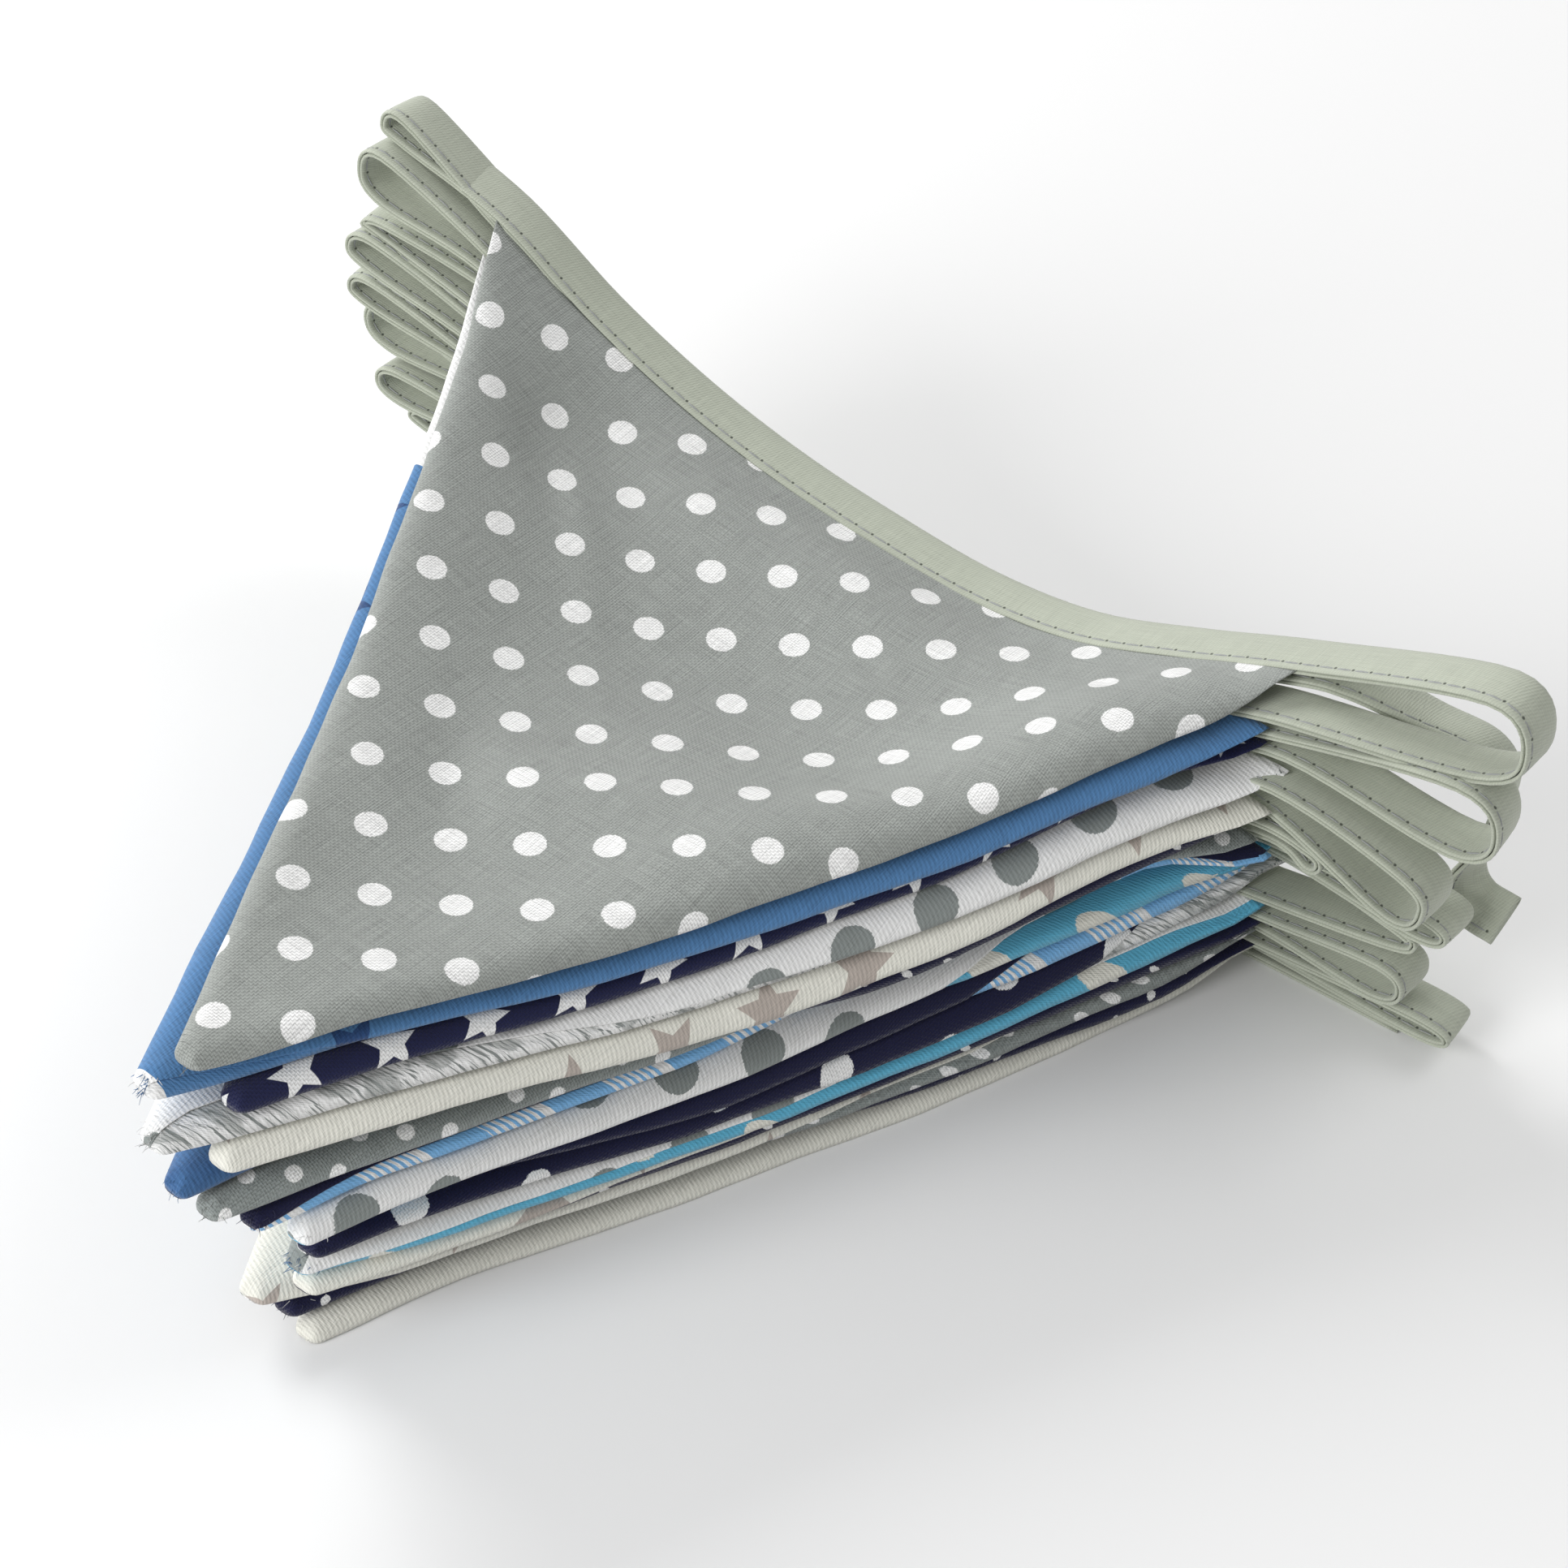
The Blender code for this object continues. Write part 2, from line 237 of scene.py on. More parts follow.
# %% The plan of one flag
class FlagPlan:
    def __init__(self, number):
        shift_x, shift_y, turn, tip_x, tip_y = FLAGS[number]
        self.level = flag_level(number)
        self.middle = Vector((shift_x, shift_y, 0)) * MM
        angle = radians(turn)
        self.along = Vector((cos(angle), sin(angle), 0))
        self.across = Vector((-sin(angle), cos(angle), 0))
        self.tip = Vector((tip_x, tip_y, 0)) * MM - Vector((0, FLAG_DEPTH, 0))

    def place(self, along, down):
        edge = self.middle + self.along * (along * FLAG_WIDTH / 2)
        return edge.lerp(self.tip, down)

    def band(self, x_along, across):
        return self.middle + self.along * x_along + self.across * across


print("tip of the lowest flag:", [round(c * 1000, 1) for c in FlagPlan(15).tip])

# %% [markdown]
# ## Camera, floor and light
# The stack is seen from its front left, a little above 40 degrees, through a long lens. A pale sweep
# under it and large soft lamps give the even light of a product picture. Big lamps matter for cloth:
# small ones would turn each thread into glitter.

# %% Camera
LENS, SENSOR = 78.26, 36
ELEVATION, AZIMUTH, DISTANCE = radians(43.7), radians(37.4), 0.631
AIM = Vector((15.7, -48.1, 40)) * MM + STACK

look = Vector((
    -sin(AZIMUTH) * cos(ELEVATION),
    cos(AZIMUTH) * cos(ELEVATION),
    -sin(ELEVATION),
))
facing = look.to_track_quat("-Z", "Y").to_euler()
bpy.ops.object.camera_add(location=AIM - look * DISTANCE, rotation=facing)
camera = bpy.context.object
camera.name = "camera"
camera.data.lens, camera.data.sensor_width = LENS, SENSOR
camera.data.clip_start, camera.data.clip_end = 0.01, 20
bpy.context.scene.camera = camera
print("camera at", [round(c, 3) for c in camera.location])

# %% Floor and lamps
def set_sockets(node, values):
    for name, value in values.items():
        node.inputs[name].default_value = value


bpy.ops.mesh.primitive_plane_add(size=6, location=(0, 0, 0))
floor = bpy.context.object
floor.name = "floor"
floor_paint = bpy.data.materials.new("pale_floor")
floor_paint.use_nodes = True
floor_shader = floor_paint.node_tree.nodes["Principled BSDF"]
set_sockets(floor_shader, {"Base Color": (0.86, 0.86, 0.86, 1), "Roughness": 0.9})
floor.data.materials.append(floor_paint)

# Columns: name, place (m), size (m), power (W).
LAMPS = (
    ("lamp_front", (-0.45, -1.25, 0.7), 0.9, 17.0),
    ("lamp_left", (-1.2, 0.3, 0.9), 0.7, 13.0),
    ("lamp_back", (0.6, 1.0, 1.2), 0.9, 5.0),
)
for name, place, size, power in LAMPS:
    place = Vector(place)
    facing = (-place).to_track_quat("-Z", "Y").to_euler()
    bpy.ops.object.light_add(type="AREA", location=place, rotation=facing)
    lamp = bpy.context.object
    lamp.name = name
    lamp.data.shape = "SQUARE"
    lamp.data.size, lamp.data.energy = size, power

world = bpy.data.worlds.new("soft_sky")
bpy.context.scene.world = world
world.use_nodes = True
set_sockets(world.node_tree.nodes["Background"], {"Color": (1, 1, 1, 1), "Strength": 0.44})
bpy.context.scene.view_settings.view_transform = "Standard"
print("lamps:", len(LAMPS))

# %% [markdown]
# ## Fabric as a recipe
# Printed cotton has two parts: threads that go over and under each other, and ink on top of them. Both
# follow the cloth when it bends, so every pattern here reads the panel's own cloth map, in millimetres
# across and down the flag. A few small helpers keep the recipes short: each adds one node and returns
# its result.

# %% Helpers that add one node each
class Recipe:
    """The node tree of one fabric, with the place on the cloth as across and down, in mm."""

    def __init__(self, name):
        self.material = bpy.data.materials.new(name)
        self.material.use_nodes = True
        self.tree = self.material.node_tree
        self.shader = self.tree.nodes["Principled BSDF"]
        cloth_map = self.add("UVMap")
        cloth_map.uv_map = "cloth"
        parts = self.add("SeparateXYZ")
        self.tree.links.new(cloth_map.outputs["UV"], parts.inputs[0])
        self.across, self.down = parts.outputs[0], parts.outputs[1]

    def add(self, kind):
        return self.tree.nodes.new("ShaderNode" + kind)

    def feed(self, socket, value):
        if isinstance(value, bpy.types.NodeSocket):
            self.tree.links.new(value, socket)
        elif socket.type == "VECTOR":
            socket.default_value = value[:3]
        else:
            socket.default_value = value

    def math(self, operation, *values):
        node = self.add("Math")
        node.operation = operation
        for socket, value in zip(node.inputs, values):
            self.feed(socket, value)
        return node.outputs[0]

    def times(self, *values):
        return self.math("MULTIPLY", *values)

    def plus(self, *values):
        return self.math("ADD", *values)

    def minus(self, *values):
        return self.math("SUBTRACT", *values)

    def times_plus(self, *values):
        return self.math("MULTIPLY_ADD", *values)

    def blend(self, share, first, second):
        node = self.add("Mix")
        node.data_type = "RGBA"
        self.feed(node.inputs["Factor"], share)
        self.feed(node.inputs["A"], first)
        self.feed(node.inputs["B"], second)
        return node.outputs["Result"]

    def point(self, x, y):
        node = self.add("CombineXYZ")
        self.feed(node.inputs[0], x)
        self.feed(node.inputs[1], y)
        return node.outputs[0]

    def noise(self, x, y, detail=2):
        node = self.add("TexNoise")
        node.noise_dimensions = "2D"
        set_sockets(node, {"Scale": 1, "Detail": detail})
        self.feed(node.inputs["Vector"], self.point(x, y))
        return node.outputs["Fac"]

    def scaled_noise(self, across, down, detail=2):
        across = self.times(self.across, across)
        return self.noise(across, self.times(self.down, down), detail)

    def chance(self, x, y):
        node = self.add("TexWhiteNoise")
        node.noise_dimensions = "2D"
        self.feed(node.inputs["Vector"], self.point(x, y))
        return node.outputs["Value"]

    def inside(self, distance, softness=0.12):
        """1 where distance is below zero, 0 above, with an edge as soft as ink in a thread."""
        return self.times_plus(distance, -1 / softness, 0.5)

    def clamp(self, value):
        node = self.add("Clamp")
        self.feed(node.inputs["Value"], value)
        return node.outputs[0]


def ink(red, green, blue):
    """A colour as seen on a screen, 0 to 255, for a shader."""
    return tuple((value / 255) ** 2.2 for value in (red, green, blue)) + (1,)


print("grey cotton in shader values:", [round(c, 3) for c in ink(150, 155, 152)])

# %% [markdown]
# ## Threads
# Plain weave shows a tiny check: a thread lies over its neighbour, then under it. Twill steps one
# thread sideways in each row and so shows fine slanting ribs. Threads are never even, so long thin
# noise along both directions makes slubs. The height goes to a bump and also darkens the colour where
# the threads dip, as painted shade; the unevenness goes to the colour.

# %% Plain weave and twill
# Threads and ribs in mm; a rib's slant across and down; how fine and how long slubs are, per mm.
THREAD, RIB = 0.5, 0.85
RIB_ACROSS, RIB_DOWN = -0.35, 0.94
SLUB_FINE, SLUB_LONG = 3.4, 0.12


def plain_weave(recipe):
    turn = pi / THREAD
    warp = recipe.math("SINE", recipe.times(recipe.across, turn))
    weft = recipe.math("SINE", recipe.times(recipe.down, turn))
    over = recipe.math("GREATER_THAN", recipe.times(warp, weft), 0)
    warp_hump, weft_hump = recipe.math("ABSOLUTE", warp), recipe.math("ABSOLUTE", weft)
    upper = recipe.times(warp_hump, over)
    lower = recipe.times(weft_hump, recipe.minus(1, over))
    return recipe.plus(upper, lower)


def twill(recipe, rib=RIB):
    down = recipe.times(recipe.down, RIB_DOWN)
    slant = recipe.times_plus(recipe.across, RIB_ACROSS, down)
    ribs = recipe.math("SINE", recipe.times(slant, 2 * pi / rib))
    steps = recipe.math("SINE", recipe.times(recipe.across, 2 * pi / THREAD))
    height = recipe.times_plus(ribs, 0.3, 0.5)
    return recipe.times_plus(steps, 0.12, height)


def slubs(recipe):
    """Unevenness of the threads in both directions, around zero."""
    warp = recipe.scaled_noise(SLUB_FINE, SLUB_LONG)
    weft = recipe.scaled_noise(SLUB_LONG, SLUB_FINE)
    return recipe.minus(recipe.plus(warp, weft), 1)


def finish_cloth(recipe, colour, threads, unevenness=0.5, depth=0.00016, thread_shade_strength=0.16):
    """Joins colour and threads to the shader. The threads also darken the colour where they dip, as
    painted shade between the threads.
    """
    uneven = slubs(recipe)
    # The tone holds the threads' own uneven colour, then painted shade that darkens the colour where
    # the threads dip.
    tone = recipe.times_plus(uneven, unevenness, 1 - thread_shade_strength)
    tone = recipe.times_plus(threads, thread_shade_strength * 1.6, tone)
    shaded = recipe.add("VectorMath")
    shaded.operation = "SCALE"
    recipe.feed(shaded.inputs[0], colour)
    recipe.feed(shaded.inputs["Scale"], tone)
    recipe.feed(recipe.shader.inputs["Base Color"], shaded.outputs[0])
    bump = recipe.add("Bump")
    set_sockets(bump, {"Strength": 0.55, "Distance": depth})
    recipe.feed(bump.inputs["Height"], recipe.plus(threads, uneven))
    recipe.feed(recipe.shader.inputs["Normal"], bump.outputs[0])
    recipe.feed(recipe.shader.inputs["Roughness"], recipe.times_plus(threads, -0.1, 0.92))
    gloss = {"Sheen Weight": 0.25, "Sheen Roughness": 0.5, "Specular IOR Level": 0.25}
    set_sockets(recipe.shader, gloss)
    return recipe.material


print("threads per cm:", round(10 / THREAD), "ribs per cm:", round(10 / RIB))

# %% [markdown]
# ## Printed dots and stars
# Both are repeats on a slanting grid. The recipe finds the nearest crossing of the grid and measures
# from there: for a dot, the distance; for a star, which side of its points' edges we are on. A star is
# folded into one tenth of itself, so that a single straight edge draws all ten.

# %% Repeats on a slanting grid
def nearest_cell(recipe, first, second, start=(0, 0)):
    """Distance in x and y (mm) from the nearest crossing of a grid, and that crossing's numbers."""
    area = first[0] * second[1] - first[1] * second[0]
    x = recipe.minus(recipe.across, start[0])
    y = recipe.minus(recipe.down, start[1])
    a = recipe.times_plus(x, second[1] / area, recipe.times(y, -second[0] / area))
    b = recipe.times_plus(x, -first[1] / area, recipe.times(y, first[0] / area))
    cell_a, cell_b = recipe.math("ROUND", a), recipe.math("ROUND", b)
    off_a, off_b = recipe.minus(a, cell_a), recipe.minus(b, cell_b)
    dx = recipe.times_plus(off_a, first[0], recipe.times(off_b, second[0]))
    dy = recipe.times_plus(off_a, first[1], recipe.times(off_b, second[1]))
    return dx, dy, cell_a, cell_b


def length_of(recipe, dx, dy):
    squares = recipe.plus(recipe.times(dx, dx), recipe.times(dy, dy))
    return recipe.math("SQRT", squares)


def dots(recipe, first, second, radius, start=(0, 0)):
    dx, dy, _, _ = nearest_cell(recipe, first, second, start)
    ragged = recipe.times(slubs(recipe), 0.5)
    distance = recipe.plus(length_of(recipe, dx, dy), ragged)
    return recipe.clamp(recipe.inside(recipe.minus(distance, radius)))


def stars(recipe, first, second, radius, start=(0, 0), keep=1.0):
    """Five-pointed stars, each turned by chance; keep is the share of crossings that carry one."""
    dx, dy, cell_a, cell_b = nearest_cell(recipe, first, second, start)
    turn = recipe.times(recipe.chance(cell_a, cell_b), 2 * pi)
    angle = recipe.plus(recipe.math("ARCTAN2", dy, dx), turn)
    fifth = recipe.math("DIVIDE", angle, 2 * pi / 5)
    fold = recipe.math("ABSOLUTE", recipe.minus(fifth, recipe.math("ROUND", fifth)))
    fold = recipe.times(fold, 2 * pi / 5)
    away = length_of(recipe, dx, dy)
    inner = 0.46 * radius
    edge = Vector((inner * sin(pi / 5), radius - inner * cos(pi / 5))).normalized()
    x = recipe.times(away, recipe.math("COSINE", fold))
    y = recipe.times(away, recipe.math("SINE", fold))
    side = recipe.times_plus(x, edge.x, recipe.times(y, edge.y))
    side = recipe.minus(side, edge.x * radius)
    mask = recipe.clamp(recipe.inside(side))
    chosen = recipe.chance(recipe.plus(cell_a, 0.37), recipe.plus(cell_b, 0.81))
    return recipe.times(mask, recipe.math("LESS_THAN", chosen, keep))


print("one tenth of a star's turn, degrees:", 36)

# %% [markdown]
# ## The fourteen fabrics
# Greys, blues, navy, creams and whites, each with its own thread and print. The top flag's dots slant
# down to the right, as cut from a bolt at a slight angle.

# %% Printed cottons
WHITE, GREY, PALE_GREY = ink(233, 233, 232), ink(147, 151, 147), ink(186, 188, 186)
MID_GREY, DARK_GREY = ink(134, 140, 138), ink(134, 139, 137)
BLUE, DEEP_BLUE, LIGHT_BLUE = ink(80, 124, 171), ink(46, 76, 122), ink(122, 178, 226)
TURQUOISE, NAVY, INK_BLUE = ink(92, 172, 204), ink(22, 24, 58), ink(26, 30, 66)
CREAM, TAUPE = ink(224, 223, 213), ink(178, 168, 160)
EVEN, ROUGH = 0.3, 0.5

# Columns: cloth, shape, its repeat (the grid's two steps, the radius and, where it matters, the start,
# all in mm, and the share of stars kept), ground, print, weave, unevenness and, for one, the strength
# of the painted shade between the threads.
PRINTS = (
    ("grey_dot", dots, ((11.34, -7.56), (11.71, 11.79), 2.85, (6.1, 15.2)),
     GREY, WHITE, plain_weave, ROUGH, 0.24),
    ("grey_spot", dots, ((8.0, 0.5), (3.6, 6.8), 1.5), MID_GREY, WHITE, plain_weave, 0.6),
    ("white_dot", dots, ((17.5, 2.0), (-7.4, 15.2), 4.3), WHITE, MID_GREY, twill, 0.25),
    ("navy_star", stars, ((-7.45, 14.7), (15.5, 6.0), 4.9, (5, 165)),
     INK_BLUE, WHITE, plain_weave, EVEN),
    ("navy_speck", dots, ((8.5, 2.5), (-2.5, 7.5), 0.9), NAVY, WHITE, plain_weave, EVEN),
    ("navy_dot", dots, ((17, -5), (5, 15.5), 3.3), NAVY, WHITE, plain_weave, EVEN),
    ("turquoise", dots, ((26, 6), (-5, 22), 4.2, (8, 3)), TURQUOISE, CREAM, twill, EVEN),
    ("cream_star", stars, ((19, 4), (-5, 18), 6.4, (3, 4), 0.8), CREAM, TAUPE, twill, 0.25),
)


def printed_cotton(cloth, shape, repeat, ground, print_ink, weave, unevenness, thread_shade_strength=0.16):
    recipe = Recipe(cloth + "_cotton")
    colour = recipe.blend(shape(recipe, *repeat), ground, print_ink)
    return finish_cloth(recipe, colour, weave(recipe), unevenness, thread_shade_strength=thread_shade_strength)


FABRICS = {row[0]: printed_cotton(*row) for row in PRINTS}
print("printed with one shape:", len(FABRICS))

# %% Cloths with more than one print
# The blue cloth's print leaves white areas: past a distance down to the tip, and in one corner (mm).
WHITE_TIP, WHITE_CORNER = 183.5, (-60, 46)
STRIPE_PITCH, STRIPE_BAR, DASH_FROM, DASH_PITCH = 23, 0.48, 0.56, 1.5
STROKE_FROM, PATCH_FROM = 0.54, 0.53


def blue_star_fabric():
    recipe = Recipe("blue_star_cotton")
    shapes = stars(recipe, (19, 5), (-6, 17), 6.0, (-26, 107), 0.3)
    colour = recipe.blend(shapes, BLUE, DEEP_BLUE)
    tip = recipe.math("GREATER_THAN", recipe.down, WHITE_TIP)
    corner = recipe.math("LESS_THAN", recipe.down, WHITE_CORNER[1])
    in_corner = recipe.math("LESS_THAN", recipe.across, WHITE_CORNER[0])
    white = recipe.math("MAXIMUM", tip, recipe.times(corner, in_corner))
    return finish_cloth(recipe, recipe.blend(white, colour, WHITE), twill(recipe), 0.4)


def sketch_fabric():
    """Slanting brush strokes and pale patches on white."""
    recipe = Recipe("grey_brush_cotton")
    slow = recipe.scaled_noise(0.06, 0.06)
    x = recipe.times_plus(recipe.across, 0.24, recipe.times(slow, 9))
    slant = recipe.times(recipe.across, -0.9)
    strokes = recipe.noise(x, recipe.times_plus(recipe.down, 1.3, slant), 3)
    wide = recipe.scaled_noise(0.12, 0.16, 1)
    thin = recipe.times(recipe.minus(strokes, STROKE_FROM), 14)
    patch = recipe.times(recipe.minus(wide, PATCH_FROM), 20)
    colour = recipe.blend(recipe.clamp(patch), WHITE, PALE_GREY)
    colour = recipe.blend(recipe.clamp(thin), colour, DARK_GREY)
    return finish_cloth(recipe, colour, twill(recipe), EVEN)


def stripe_fabric():
    """Light blue bars and rows of short dashes on white, across the front edge."""
    recipe = Recipe("dash_stripe_cotton")
    slant = recipe.times(recipe.across, -0.44)
    along = recipe.times_plus(recipe.down, 0.9, slant)
    row = recipe.math("FRACT", recipe.math("DIVIDE", along, STRIPE_PITCH))
    bar = recipe.math("LESS_THAN", row, STRIPE_BAR)
    dash_zone = recipe.math("GREATER_THAN", row, DASH_FROM)
    dash = recipe.math("FRACT", recipe.math("DIVIDE", along, DASH_PITCH))
    dashes = recipe.times(dash_zone, recipe.math("LESS_THAN", dash, 0.5))
    mask = recipe.math("MAXIMUM", bar, dashes)
    return finish_cloth(recipe, recipe.blend(mask, WHITE, LIGHT_BLUE), twill(recipe), EVEN)


FABRICS |= {"blue_star": blue_star_fabric(), "sketch": sketch_fabric(), "stripe": stripe_fabric()}
print("fabrics so far:", len(FABRICS))

# %% Plain cloths
def blue_plain_fabric():
    recipe = Recipe("blue_twill")
    colour = recipe.blend(recipe.scaled_noise(0.1, 0.1), DEEP_BLUE, BLUE)
    return finish_cloth(recipe, colour, twill(recipe), 0.4)


def plain_fabric(name, colour, weave, unevenness):
    recipe = Recipe(name)
    return finish_cloth(recipe, colour, weave(recipe), unevenness)


FABRICS |= {
    "blue_plain": blue_plain_fabric(),
    "navy_plain": plain_fabric("navy_cotton", NAVY, plain_weave, EVEN),
    "cream_plain": plain_fabric("cream_twill", CREAM, twill, 0.25),
}
print("fabrics:", len(FABRICS))

# %% [markdown]
# ## The flags
# A real flag is two triangles sewn right sides together, turned and pressed. Its rim is the tell: the
# upper cloth rolls down and the lower cloth rolls up, and they meet in a seam. So each panel is a grid
# of rows from the band to the tip, with closely spaced lines near the rim where the cloth turns.

# %% Spacing of rows and columns
RIM_LINES = (0, 0.25, 0.7, 1.4, 2.4, 3.8, 5.6, 8)
CLOTH_THICK = 0.3 * MM
TIP_ROUND = 1.2 * MM
TUCKED_IN = 1.5 * MM


def edge_first(width, count):
    """Distances from the rim (m) up to width, close together near the rim."""
    spaced = []
    for index in range(count + 1):
        even = width * index / count
        if index < len(RIM_LINES):
            spaced.append(min(RIM_LINES[index] * MM, even))
        else:
            start = min(RIM_LINES[-1] * MM, width * (len(RIM_LINES) - 1) / count)
            share = (index - len(RIM_LINES) + 1) / (count - len(RIM_LINES) + 1)
            spaced.append(start + (width - start) * share)
    return spaced


print("first lines from the rim, mm:", [round(d * 1000, 2) for d in edge_first(0.09, 24)[:9]])

# %% [markdown]
# The rim's roll is a quarter of an ellipse, wider above than below, because the cloth above lies on
# what bulges under it. The panel's loft, half the flag's thickness, grows from nothing at the band.

# %% Height of a panel above its flag's seam
UPPER_ROLL, LOWER_ROLL = 5.0 * MM, 1.6 * MM
SEAM_DROP = 0.8
LOFT_SHARE, LOWEST_SHARE, BAND_LOFT, LOFT_REACH = 0.78, 0.5, 0.22 * MM, 20 * MM
LEAST_LIFT = 0.2 * MM


def rim_roll(distance, reach):
    inward = 1 - min(max(distance / reach, 0), 1)
    return sqrt(max(0, 1 - inward**2))


def panel_height(number, side, level, spot, down, rim):
    middle = cloth_height(level, spot.x, spot.y)
    even = panel_pitch() * (top_height(spot.x, spot.y) - REST_HEIGHT)
    share = LOWEST_SHARE if number == len(FLAGS) - 1 and side < 0 else LOFT_SHARE
    loft = BAND_LOFT + (share * even - BAND_LOFT) * smooth_step(down * FLAG_DEPTH / LOFT_REACH)
    seam = middle - SEAM_DROP * loft
    outer = middle + side * loft
    roll = rim_roll(rim, UPPER_ROLL if side > 0 else LOWER_ROLL)
    half_cloth = side * 0.5 * CLOTH_THICK
    height = seam + half_cloth + (outer - seam - half_cloth) * roll
    return max(height, floor_lift(spot.x, spot.y) + LEAST_LIFT)


print("loft at the tip, mm:", round(LOFT_SHARE * panel_pitch() * TIP_HEIGHT * 1000, 2))

# %% [markdown]
# Each vertex also gets its place in the cloth: how far it is from the middle line and from the band,
# measured along the bent cloth and not in plan. Without that, dots would stretch on the slopes.

# %% [markdown]
# No flag in a used stack lies dead straight. The front edge of each one bows a little out or in, and
# where the seam has rolled over, a strip of the lower cloth shows on top.

# %% How each front edge runs
# Columns: how far the edge bows out of a straight line (mm) at four places from the band to the tip,
# and how wide the lower cloth shows on top (mm) at six places.
EDGE_STOPS, WRAP_STOPS = (0, 0.1, 0.35, 0.6, 0.85, 1), (0.05, 0.2, 0.33, 0.55, 0.8, 1)
NO_WRAP = (0, 0, 0, 0, 0, 0)
EDGES = (
    ((0, 0, 0, 0), NO_WRAP),
    ((-0.5, 0.1, 0.2, -0.6), (0, 0, 0, 0, 0, 2)),
    ((-3.5, -1.9, -1.4, -0.8), NO_WRAP),
    ((-1.8, 0, 0.5, 0.8), (0, 0, 0, 0.3, 4.2, 7)),
    ((-2.8, -0.1, 0.5, 0.6), NO_WRAP),
    ((-0.5, 1.4, -3, -3.6), (3, 1.4, 1.4, 0, 0, 0)),
    ((-5.5, -6.2, -4.2, -1.2), NO_WRAP),
    ((-9, -10.5, -6.2, -3.4), (1, 1, 1.2, 2, 2.2, 0)),
    ((-2.6, -3.5, -2.5, -1.4), (8, 4.5, 0, 0, 0, 0)),
    ((0, 0.2, 1.3, -2.2), (4, 3.4, 0, 0, 0, 0)),
    ((-0.5, 2.2, 1.1, -0.4), (7, 0, 0, 0, 0, 0)),
    ((-0.6, 0.9, 1.4, 2.1), (2.4, 2.4, 1.6, 0.9, 0.5, 0)),
    ((-1.3, -0.8, 0, 0.9), (2.4, 2, 1.2, 0.4, 0, 0)),
    ((1.3, 3.2, 3.8, 3.6), (3, 2.4, 1.2, 0, 0, 0)),
    ((1.5, 1.2, -1.6, -1.2), NO_WRAP),
    ((2.3, 3.7, 2, -1.2), NO_WRAP),
)
# How far a tip is drawn in along x and y (mm).
TIPS_IN = {8: (5, 7)}
# Where no lower cloth shows, its rim is tucked in under the upper one, and still turned up a little.
LEAST_WRAP, MOST_WRAP, WRAP_LINES, WRAP_UNDER = 0.35 * MM, 0.8, 5, 0.4 * MM
TUCK, TUCK_FADE, MOST_TUCK = 0.7 * MM, 0.8 * MM, 0.4
BUNCH, MOST_BUNCH = 0.02 * MM, 0.005
LEAST_HALF, WOBBLE_FADE, BENEATH = 0.4 * MM, 8 * MM, 1.15
FINE_GRID, PLAIN_GRID = (80, 48), (44, 30)
EDGE_OUT = Vector((FLAG_DEPTH, -FLAG_WIDTH / 2, 0)).normalized()


def between_stops(stops, values, place):
    place = min(max(place, stops[0]), stops[-1])
    for low, high, before, after in zip(stops, stops[1:], values, values[1:]):
        if place <= high:
            return before + (after - before) * smooth_step((place - low) / (high - low))


def edge_bow(number, down):
    return between_stops(EDGE_STOPS, (0, *EDGES[number][0], 0), down) * MM


def edge_wrap(number, down):
    return between_stops(WRAP_STOPS, EDGES[number][1], down) * MM


def tip_in(number):
    return Vector((*TIPS_IN.get(number, (0, 0)), 0))


print("bow of the lowest flag's edge, mm:", round(edge_bow(15, 0.4) * 1000, 2))

# %% Making one panel
def rim_wobble(number, distance):
    """Small puckers of the seam, different on each flag."""
    beat = distance / MM
    slow = 0.12 * sin(beat / 5.3 + 2.1 * number)
    return (slow + 0.06 * sin(beat / 2.4 + 3.7 * number)) * MM


